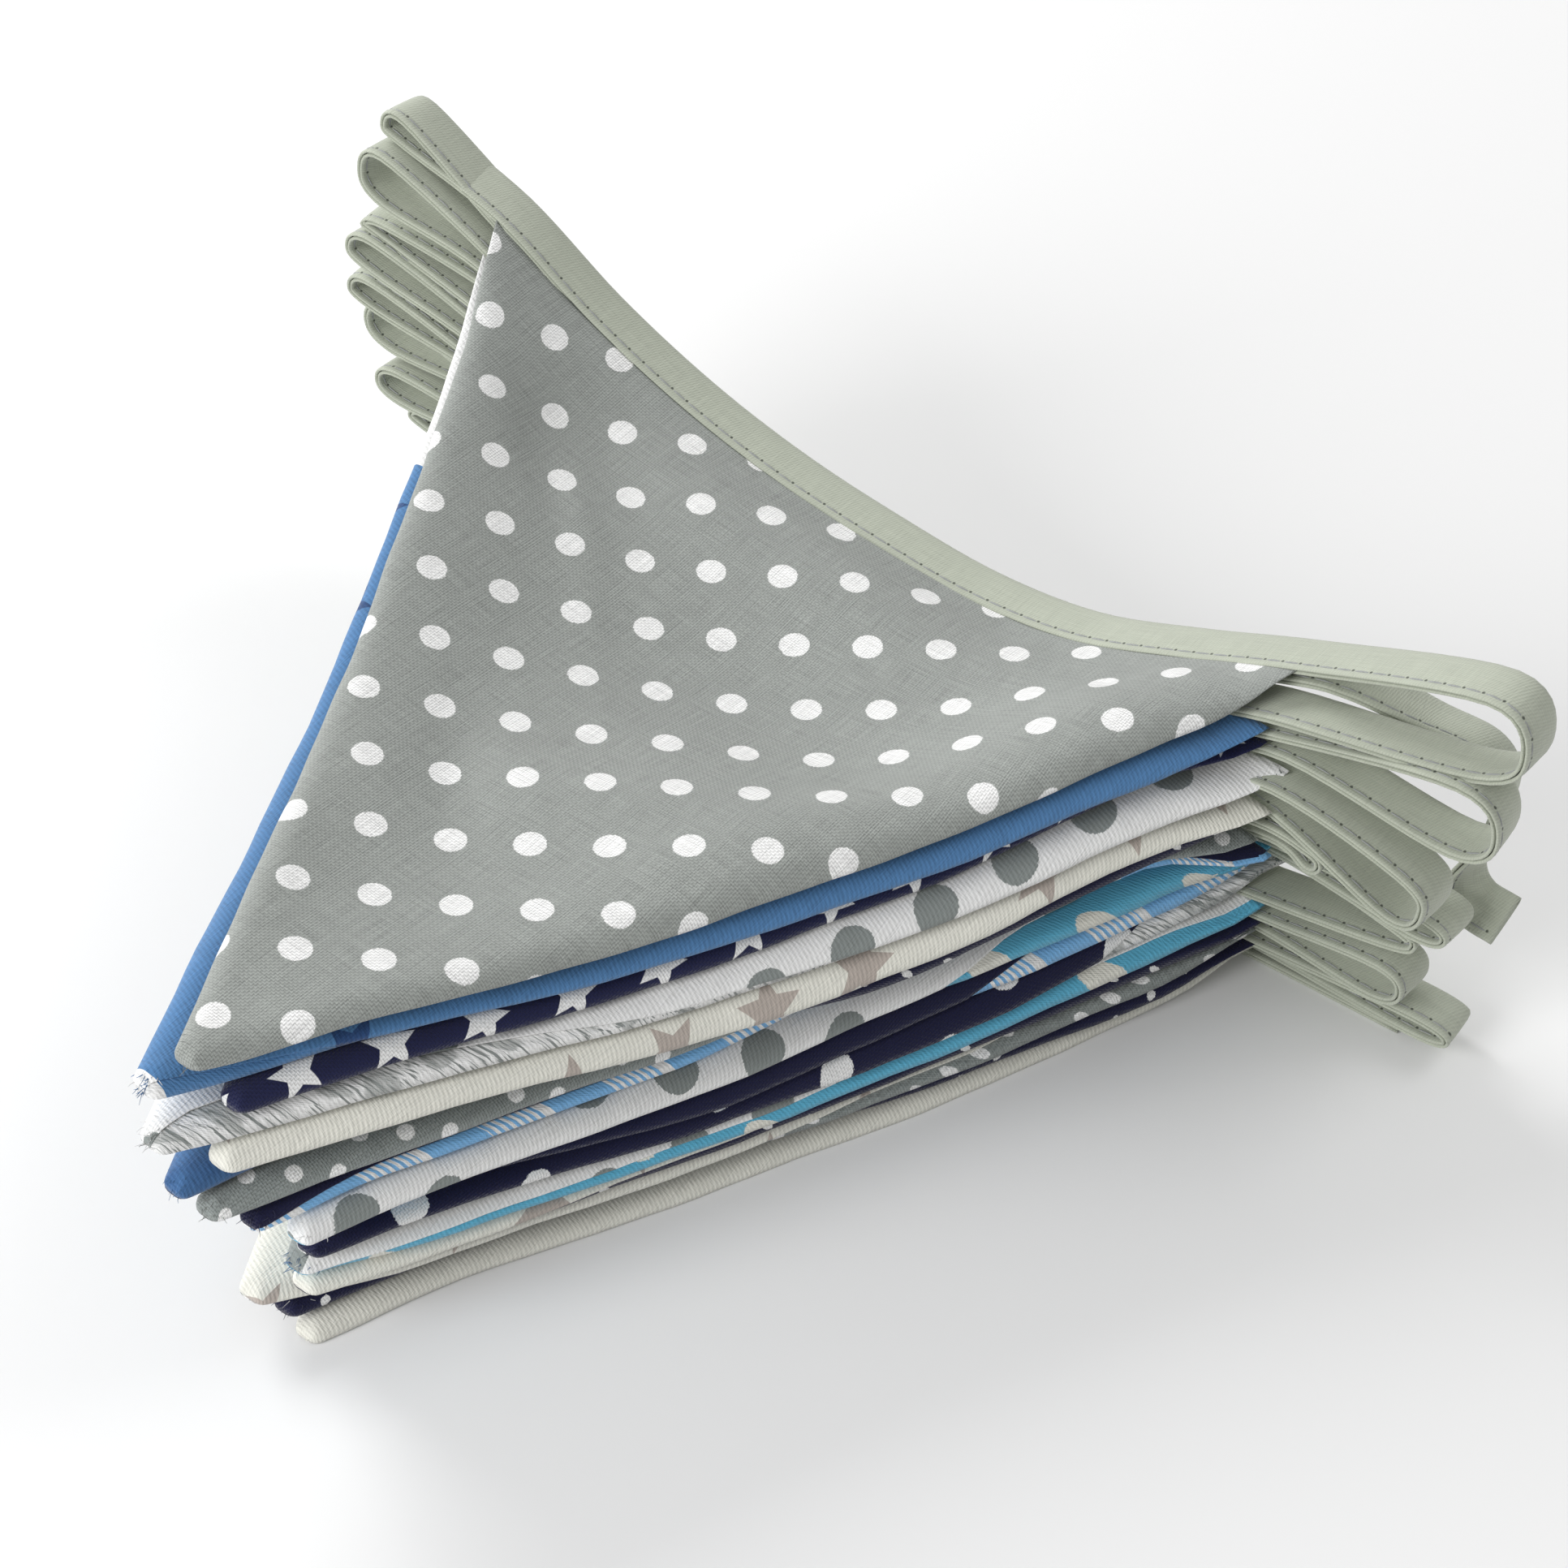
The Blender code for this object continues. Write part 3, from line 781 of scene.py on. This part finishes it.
def panel_grid(number, side, rows, columns):
    """Rows of points from the band to the tip. The lower cloth has extra columns over its rim."""
    plan = FlagPlan(number)
    length = FLAG_DEPTH - TIP_CUT
    downs = [(length - d) / FLAG_DEPTH for d in edge_first(length, rows)][::-1]
    downs = [-TUCKED_IN / FLAG_DEPTH] + downs
    slope = FLAG_DEPTH / hypot(FLAG_DEPTH, FLAG_WIDTH / 2)
    grid = []
    for down in downs:
        to_tip = length - down * FLAG_DEPTH
        half = FLAG_WIDTH / 2 * (1 - down)
        cut = TIP_ROUND * (1 - rim_roll(to_tip, TIP_ROUND))
        half = max(half - cut, LEAST_HALF)
        half += rim_wobble(number, to_tip) * min(1, to_tip / WOBBLE_FADE)
        wrap = min(edge_wrap(number, down), MOST_WRAP * half)
        steps = edge_first(half, columns)
        offsets = [step - half for step in steps] + [half - step for step in steps[-2::-1]]
        if side > 0:
            narrower = [half - wrap - (half - wrap) * step / half for step in steps]
            offsets = offsets[: len(steps)] + narrower[-2::-1]
        spots = [(offset, side, 0) for offset in offsets]
        if side < 0:
            rim_in = min(TUCK * (1 - smooth_step(wrap / TUCK_FADE)), MOST_TUCK * half)
            bunched = min(BUNCH, MOST_BUNCH * half)
            spots = [(min(offset, half - rim_in - bunched * (2 * columns - index)), side, 0)
                     for index, offset in enumerate(offsets)]
            turned = min(max(wrap, LEAST_WRAP), MOST_WRAP * half)
            for line in range(1, WRAP_LINES + 1):
                part = line / WRAP_LINES
                spots.append((half - rim_in - (turned + WRAP_UNDER) * part, 1, part))
        row = []
        for offset, face, under in spots:
            share = offset / (FLAG_WIDTH / 2 * (1 - down))
            spot = plan.place(share, down)
            spot -= plan.across * (TAPE_GAP * (1 - down))
            spot += EDGE_OUT * (edge_bow(number, down) * max(0, share) ** 2)
            spot += tip_in(number) * (MM * max(0, down) ** 3)
            rim = min((half - abs(offset)) * slope, to_tip)
            spot.z = panel_height(number, face, plan.level, spot, max(down, 0), rim)
            spot.z -= BENEATH * CLOTH_THICK * smooth_step(1.6 * under)
            row.append(spot)
        grid.append(row)
    return grid


def lengths_along(points):
    lengths = [0]
    for a, b in zip(points, points[1:]):
        lengths.append(lengths[-1] + (b - a).length)
    return lengths


def cloth_places(grid, columns):
    """How far each point is from the middle line and from the band, along the cloth, in mm."""
    places = []
    for row, down in zip(grid, lengths_along([row[columns] for row in grid])):
        left, right = lengths_along(row[columns::-1]), lengths_along(row[columns:])
        across = [-length for length in left[:0:-1]] + right
        places.append([(length / MM, down / MM) for length in across])
    return places


print("points in a fine upper panel:", (FINE_GRID[0] + 2) * (2 * FINE_GRID[1] + 1))

# %% From grid to sheet
def new_piece(name, points, faces):
    mesh = bpy.data.meshes.new(name)
    mesh.from_pydata([tuple(point) for point in points], [], faces)
    piece = bpy.data.objects.new(name, mesh)
    bpy.context.scene.collection.objects.link(piece)
    return piece


def sheet_from_grid(name, grid, places, material, up):
    width = len(grid[0])
    points = [spot + STACK for row in grid for spot in row]
    faces = []
    for r in range(len(grid) - 1):
        for c in range(width - 1):
            near, far = r * width + c, (r + 1) * width + c
            face = [near, near + 1, far + 1, far]
            faces.append(face[::-1] if up else face)
    sheet = new_piece(name, points, faces)
    mesh = sheet.data
    layer = mesh.uv_layers.new(name="cloth")
    flat = [place for row in places for place in row]
    for loop in mesh.loops:
        layer.data[loop.index].uv = flat[loop.vertex_index]
    mesh.materials.append(material)
    mesh.shade_smooth()
    return sheet


def thicken(sheet, thickness, offset):
    bpy.ops.object.select_all(action="DESELECT")
    bpy.context.view_layer.objects.active = sheet
    sheet.select_set(True)
    solid = sheet.modifiers.new("Thickness", "SOLIDIFY")
    solid.thickness, solid.offset = thickness, offset
    bpy.ops.object.modifier_apply(modifier=solid.name)
    sheet.select_set(False)


print("cloth is", CLOTH_THICK * 1000, "mm thick")

# %% Which fabric each flag has
# Columns: upper cloth, lower cloth, and how far the bolt is turned (degrees) and shifted (mm) under
# the cutting template.
CLOTHS = (
    ("grey_dot", "grey_dot", 0, 0, 0),
    ("blue_star", "blue_star", 0, 0, 0),
    ("navy_star", "navy_star", 0, 0, 0),
    ("white_dot", "sketch", 8, 5, 1),
    ("cream_star", "cream_star", -6, 2, 7),
    ("blue_plain", "navy_speck", 2, 0, 0),
    ("grey_spot", "grey_spot", -9, 1, 2),
    ("navy_plain", "stripe", 0, 3, 0),
    ("white_dot", "turquoise", -12, 7, 5),
    ("navy_plain", "stripe", 2, 0, 0),
    ("navy_dot", "sketch", -8, 2, 4),
    ("white_dot", "turquoise", 5, 6, 6),
    ("cream_star", "navy_speck", 4, 11, 9),
    ("cream_star", "grey_spot", -3, 0, 0),
    ("navy_speck", "navy_speck", 6, 2, 3),
    ("cream_plain", "cream_plain", 3, 0, 0),
)


def laid_on_bolt(places, number):
    turn, shift_x, shift_y = CLOTHS[number][2:]
    cosine, sine = cos(radians(turn)), sin(radians(turn))
    return [
        [(x * cosine - y * sine + shift_x, x * sine + y * cosine + shift_y) for x, y in row]
        for row in places
    ]


print("cloths used:", len({cloth for row in CLOTHS for cloth in row[:2]}))

# %% Sewing all the flags
panels = []
for number, cloths in enumerate(CLOTHS):
    rows, columns = FINE_GRID if number == 0 else PLAIN_GRID
    for side, word, fabric in ((1, "upper", cloths[0]), (-1, "lower", cloths[1])):
        grid = panel_grid(number, side, rows, columns)
        places = laid_on_bolt(cloth_places(grid, columns), number)
        node = f"flag_{number + 1:02d}_{word}"
        panel = sheet_from_grid(node + "_cloth", grid, places, FABRICS[fabric], side > 0)
        thicken(panel, CLOTH_THICK, -1)
        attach(panel, "root")
        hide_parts(node)
        panels.append(panel)
print("panels:", len(panels), "faces:", sum(len(panel.data.polygons) for panel in panels))

# %% [markdown]
# ## The band of folded tape
# Bias tape is a strip folded in four: both raw edges turn in, then the strip closes over the flags'
# tops. The fold lies at the back, and the two turned edges show as a double line at the front. A strip
# with that section is swept along the band's route, so its cut ends show all four layers.

# %% The tape's section
# Columns: distance from the front edge and height above the middle (mm), for the upper half.
HALF_SECTION = (
    (8.6, 0.22), (4.5, 0.24), (1.2, 0.22), (0.35, 0.24), (0.08, 0.42), (0.3, 0.60), (0.9, 0.66),
    (1.35, 0.58), (1.7, 0.58), (2.2, 0.68), (5.0, 0.72), (8.2, 0.66), (9.4, 0.50), (9.85, 0.24),
)
SECTION = HALF_SECTION + ((9.95, 0.0),) + tuple((y, -n) for y, n in HALF_SECTION[::-1])
TAPE_LAYER = 0.26 * MM
STEPS_BETWEEN = 7
print("points across the strip:", len(SECTION))

# %% [markdown]
# The route is the one that made the solid: along each flag's top edge, then round a loop. The curve
# passes through every point, which is how a springy band lies: straight where the flags hold it and
# round where it turns back.

# %% The tape's route
def band_run(plan, side, level=None, across=TAPE_WIDTH / 2):
    level = plan.level if level is None else level
    run = []
    for step in range(RUN_STEPS + 1):
        share = 2 * step / RUN_STEPS - 1
        spot = plan.band(side * share * FLAG_WIDTH / 2, across)
        spot.z = layer_height(level, spot.x, spot.y)
        run.append((spot, 0))
    return run


def add_loop(route, run, side, row):
    reach, rise, fullness = (value * MM for value in row[:3])
    lean = radians(row[3])
    start, end = route[-1][0], run[0][0]
    tip = (start + end) / 2
    tip.x = side * FLAG_WIDTH / 2 + side * reach
    tip.z += rise
    upper, lower = start.lerp(tip, SHOULDER), end.lerp(tip, SHOULDER)
    upper.z, lower.z = tip.z + fullness / 2, tip.z - fullness / 2
    route.extend([(upper, lean * 0.8), (tip, lean), (lower, lean * 0.8)])
    route.extend(run)


def tape_route():
    plans = [FlagPlan(number) for number in range(len(FLAGS))]
    between = (plans[0].level + plans[1].level) / 2
    corner = Vector((FLAG_WIDTH / 2, TAPE_WIDTH / 2, 0))
    hanging = [(corner + Vector(row[:3]) * MM, radians(row[3])) for row in UPPER_END]
    route = hanging[::-1] + band_run(plans[0], -1, between, TAPE_WIDTH / 2 + TAPE_GAP)
    for number, plan in enumerate(plans):
        side = 1 if number % 2 == 0 else -1
        loops = LEFT_LOOPS if side == 1 else RIGHT_LOOPS
        add_loop(route, band_run(plan, side), -side, loops[number // 2])
    lowest = band_run(plans[-1], 1)
    for spot, _ in lowest:
        spot.z = TAPE_THICK / 2 + floor_lift(spot.x, spot.y) - STEP_HEIGHT
    add_loop(route, lowest, -1, LEFT_LOOPS[-1])
    last = route[-1][0].copy()
    last.x += LOWER_END_REACH
    route.append((last, 0))
    return route


route = tape_route()
print("points on the route:", len(route))

# %% Smoothing the route
def between_points(points, steps):
    """A smooth curve through all points, of vectors or of numbers."""
    first, last = points[0] * 2 - points[1], points[-1] * 2 - points[-2]
    points = [first, *points, last]
    curve = []
    for before, start, end, after in zip(points, points[1:], points[2:], points[3:]):
        for step in range(steps):
            t = step / steps
            leave, arrive = (end - before) * 0.5, (after - start) * 0.5
            curve.append(
                start * (2 * t**3 - 3 * t**2 + 1)
                + leave * (t**3 - 2 * t**2 + t)
                + end * (3 * t**2 - 2 * t**3)
                + arrive * (t**3 - t**2)
            )
    curve.append(points[-2])
    return curve


middles = between_points([spot for spot, _ in route], STEPS_BETWEEN)
leans = between_points([lean for _, lean in route], STEPS_BETWEEN)
route_lengths = lengths_along(middles)
tape_length = route_lengths[-1]
print("length of tape, m:", round(tape_length, 3))

# %% [markdown]
# At each point of the route the section needs two directions: across the tape, towards its folded
# back, and out of its face. The tape lies flat across the stack's depth, apart from the small lean of
# each loop.

# %% Directions along the route
def tape_frames(points, tilts):
    frames = []
    for index, middle in enumerate(points):
        ahead = points[min(index + 1, len(points) - 1)] - points[max(index - 1, 0)]
        ahead.normalize()
        across = Vector((0, 1, 0))
        across = (across - ahead * across.dot(ahead)).normalized()
        across = Matrix.Rotation(tilts[index], 3, ahead) @ across
        out = ahead.cross(across).normalized()
        frames.append((middle, across, out))
    return frames


def on_tape(frame_at, from_front, out):
    middle, across, face = frame_at
    return middle + across * (from_front - TAPE_WIDTH / 2) + face * out


tape_frame = tape_frames(middles, leans)
print("frames:", len(tape_frame))

# %% Sweeping the strip
def tape_grid():
    return [[on_tape(frame_at, y * MM, n * MM) for y, n in SECTION] for frame_at in tape_frame]


def tape_places(grid):
    return [
        [(across / MM, along / MM) for across in lengths_along(row)]
        for row, along in zip(grid, route_lengths)
    ]


STITCH_PITCH, STITCH_LENGTH, STITCH_LINE = 3.9 * MM, 3.3 * MM, 1.5 * MM
STRIP_WIDTH = tape_places(tape_grid())[0][-1][0]
# The needle's holes: their line from the strip's edge, the first one, and their radius, in mm.
HOLE_LINE, HOLE_START, HOLE_RADIUS = 10.2, 0.42 * STITCH_PITCH / MM, 0.3
# The needle holes are not cut into the tape: each is a dark dot of painted shade.
SAGE, HOLE_PAINTED_SHADE = ink(175, 180, 165), ink(84, 88, 80)


def sage_tape_fabric():
    recipe = Recipe("sage_tape_cotton")
    beat = recipe.math("DIVIDE", recipe.minus(recipe.down, HOLE_START), STITCH_PITCH / MM)
    off_beat = recipe.math("ABSOLUTE", recipe.minus(beat, recipe.math("ROUND", beat)))
    along = recipe.times(off_beat, STITCH_PITCH / MM)
    from_middle = recipe.math("ABSOLUTE", recipe.minus(recipe.across, STRIP_WIDTH / 2))
    across = recipe.minus(from_middle, STRIP_WIDTH / 2 - HOLE_LINE)
    past_hole = recipe.minus(length_of(recipe, across, along), HOLE_RADIUS)
    # Painted shade: the tape's colour turns dark inside each needle hole.
    hole = recipe.clamp(recipe.inside(past_hole, 0.2))
    colour = recipe.blend(hole, SAGE, HOLE_PAINTED_SHADE)
    return finish_cloth(recipe, colour, twill(recipe, 0.55), 0.22, 0.0001, 0.1)


FABRICS["sage_tape"] = sage_tape_fabric()
grid = tape_grid()
tape = sheet_from_grid("tape_strip", grid, tape_places(grid), FABRICS["sage_tape"], False)
thicken(tape, TAPE_LAYER, 0)
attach(tape, "root")
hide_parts("tape_band")
print("tape faces:", len(tape.data.polygons))

# %% [markdown]
# ## Stitches
# One line of grey thread closes the tape, a millimetre and a half from its front edge. Each stitch is
# a short tapered bead of thread that dips into the cloth at both ends. All are one mesh, on both faces.

# %% Stitches along the band
# Columns: place along the stitch (0 to 1), radius (mm), height above the face (mm).
STITCH_RINGS = (
    (0.0, 0.08, -0.12),
    (0.12, 0.15, 0.02),
    (0.5, 0.17, 0.08),
    (0.88, 0.15, 0.02),
    (1.0, 0.08, -0.12),
)
STITCH_SIDES = 6
FACE_AT_LINE = 0.66 * MM


def frame_at_length(distance, start):
    index = start
    while index < len(route_lengths) - 2 and route_lengths[index + 1] < distance:
        index += 1
    before, after = route_lengths[index : index + 2]
    share = (distance - before) / max(after - before, 1e-9)
    one, two = tape_frame[index], tape_frame[index + 1]
    return tuple(a.lerp(b, share) for a, b in zip(one, two)), index


def tube_faces(first, rings, sides):
    """The faces of a tube, all turned outward. Its rings follow each other from point first."""
    faces = []
    for ring in range(rings - 1):
        for k in range(sides):
            a = first + ring * sides + k
            b = first + ring * sides + (k + 1) % sides
            faces.append((a, b, b + sides, a + sides))
    last = first + (rings - 1) * sides
    faces.append(tuple(range(first, first + sides))[::-1])
    faces.append(tuple(range(last, last + sides)))
    return faces


def stitch_mesh():
    points, faces, index = [], [], 0
    for number in range(int(tape_length / STITCH_PITCH) - 1):
        begin = (number + 0.5) * STITCH_PITCH
        rings = []
        for share, radius, height in STITCH_RINGS:
            frame_now, found = frame_at_length(begin + share * STITCH_LENGTH, index)
            rings.append((frame_now, radius * MM, height * MM))
        index = found
        for face_side in (1, -1):
            first = len(points)
            for frame_now, radius, height in rings:
                for k in range(STITCH_SIDES):
                    angle = 2 * pi * k / STITCH_SIDES
                    out = face_side * (FACE_AT_LINE + height) + radius * sin(angle)
                    from_front = STITCH_LINE + radius * cos(angle)
                    points.append(on_tape(frame_now, from_front, out) + STACK)
            faces += tube_faces(first, len(STITCH_RINGS), STITCH_SIDES)
    return points, faces


points, faces = stitch_mesh()
stitches = new_piece("tape_stitches", points, faces)
stitches.data.shade_smooth()
print("stitches:", len(faces) // (STITCH_SIDES * (len(STITCH_RINGS) - 1) + 2))

# %% Thread for the stitches
def thread_material(name, colour):
    """Thread with fine unevenness read from its place in space: stitches have no cloth map."""
    material = bpy.data.materials.new(name)
    material.use_nodes = True
    nodes, links = material.node_tree.nodes, material.node_tree.links
    place = nodes.new("ShaderNodeTexCoord")
    twist = nodes.new("ShaderNodeTexNoise")
    set_sockets(twist, {"Scale": 2500})
    links.new(place.outputs["Object"], twist.inputs["Vector"])
    ramp = nodes.new("ShaderNodeMix")
    ramp.data_type = "RGBA"
    set_sockets(ramp, {"A": tuple(0.6 * c for c in colour[:3]) + (1,), "B": colour})
    links.new(twist.outputs["Fac"], ramp.inputs["Factor"])
    shader = nodes["Principled BSDF"]
    links.new(ramp.outputs["Result"], shader.inputs["Base Color"])
    set_sockets(shader, {"Roughness": 0.6, "Sheen Weight": 0.3})
    return material


stitches.data.materials.append(thread_material("grey_thread", ink(160, 163, 163)))
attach(stitches, "root")
print("stitch faces:", len(stitches.data.polygons))

# %% [markdown]
# ## Frayed tips
# The points of the flags are trimmed close to the seam, and a few threads work loose there. Each is a
# thin bent tube of three sides. All threads of one colour are one mesh, laid by a seeded sequence so
# that they fall the same way each time.

# %% Loose threads at the tips
THREAD_RADIUS, THREAD_SIDES, THREAD_RINGS = 0.09 * MM, 3, 5
THREAD_LENGTH, TIP_REACH = (0.6, 1.8), 5 * MM
THREAD_SPREAD = ((-0.6, 0.6), (-0.6, 0.6), (-0.3, 0.3))
THREAD_BEND = ((-0.8, 0.8), (-0.8, 0.8), (-0.5, 0.1))
# Columns: flag, threads, fabric whose colour they have.
FRAYS = (
    (1, 26, "blue"), (1, 8, "white"), (3, 18, "white"), (3, 10, "grey"), (5, 12, "blue"),
    (6, 16, "grey"), (7, 18, "navy"), (8, 10, "white"), (9, 16, "navy"), (10, 14, "navy"),
    (11, 20, "blue"), (11, 8, "white"), (14, 16, "navy"), (14, 6, "white"), (0, 5, "grey"),
)
FRAY_COLOURS = {"blue": BLUE, "white": WHITE, "grey": GREY, "navy": ink(34, 38, 76)}


def loose_thread(points, faces, root, ways, length):
    """Adds one tube that leaves its root and bends as it goes."""
    first = len(points)
    ahead, bend = ways
    for ring in range(THREAD_RINGS):
        share = ring / (THREAD_RINGS - 1)
        middle = root + ahead * (length * share) + bend * (length * 0.5 * share**2)
        radius = THREAD_RADIUS * (1 - 0.6 * share)
        side = ahead.orthogonal().normalized()
        other = ahead.cross(side).normalized()
        for k in range(THREAD_SIDES):
            angle = 2 * pi * k / THREAD_SIDES
            offset = side * (radius * cos(angle))
            points.append(middle + offset + other * (radius * sin(angle)))
    faces += tube_faces(first, THREAD_RINGS, THREAD_SIDES)


def frayed_tip(points, faces, number, count, chance):
    """Threads along the last millimetres of one flag's tip."""
    rim = panels[2 * number].data.vertices
    place = FlagPlan(number).tip + STACK
    place += tip_in(number) * MM
    place.y += TIP_CUT
    near = [v.co.copy() for v in rim if (v.co.xy.to_3d() - place).length < TIP_REACH]
    for _ in range(count):
        root = near[chance.randrange(len(near))]
        ahead = Vector((root.x - place.x, root.y - place.y - 4 * MM, 0)).normalized()
        ahead += Vector([chance.uniform(low, high) for low, high in THREAD_SPREAD])
        bend = Vector([chance.uniform(low, high) for low, high in THREAD_BEND])
        length = chance.uniform(*THREAD_LENGTH) * MM
        loose_thread(points, faces, root, (ahead.normalized(), bend), length)


print("tips with loose threads:", len({row[0] for row in FRAYS}))

# %% Making the loose threads
chance = random.Random(7)
frays = []
for word, colour in FRAY_COLOURS.items():
    points, faces = [], []
    for number, count, cloth in FRAYS:
        if cloth == word:
            frayed_tip(points, faces, number, count, chance)
    fray = new_piece("frayed_" + word, points, faces)
    fray.data.materials.append(thread_material("loose_" + word, colour))
    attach(fray, "root")
    frays.append(fray)
print("loose thread faces:", sum(len(fray.data.polygons) for fray in frays))

# %% [markdown]
# ## The sheets of cloth
# Every panel and the tape is a sheet of cloth; this cell counts them.

# %% Counting the sheets
print("sheets declared:", len(panels) + 1)
